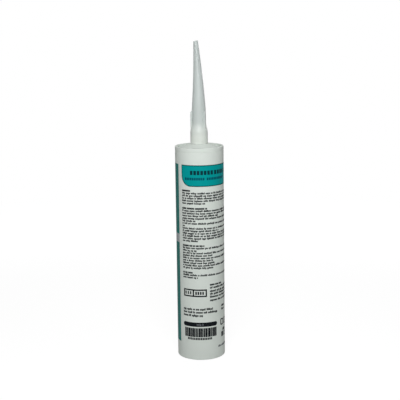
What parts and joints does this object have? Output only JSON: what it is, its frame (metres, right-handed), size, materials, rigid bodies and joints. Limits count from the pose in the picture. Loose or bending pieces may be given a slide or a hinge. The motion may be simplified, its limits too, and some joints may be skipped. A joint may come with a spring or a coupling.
{
  "type": "caulk tube",
  "caption": "Caulk cartridge with a round white barrel, a conical shoulder and spout, a finned tapering nozzle that lifts off, and a piston behind the paste.",
  "frame": {"origin": "centre of the open rear end of the barrel, which the tube stands on", "axes": "+Z along the barrel towards the nozzle tip; the nozzle tip leans towards -X; -Y faces the viewer of the picture"},
  "size_m": [0.0486, 0.0484, 0.3197],
  "materials": {
    "cartridge": "satin white polyethylene",
    "nozzle": "translucent polyethylene",
    "piston": "natural polyethylene",
    "sealant": "smooth wet paste"
  },
  "bodies": {
    "cartridge": {"cartridge": "cartridge", "sealant": "sealant"},
    "nozzle": {"nozzle": "nozzle"},
    "piston": {"piston": "piston"}
  },
  "joints": [
    {"name": "nozzle_lift", "type": "slide", "parent": "cartridge", "child": "nozzle", "axis": [0, 0, 1], "range_m": [0, 0.022]},
    {"name": "piston_stroke", "type": "slide", "parent": "cartridge", "child": "piston", "axis": [0, 0, 1], "range_m": [0, 0.1807], "deforming": ["sealant"]}
  ]
}
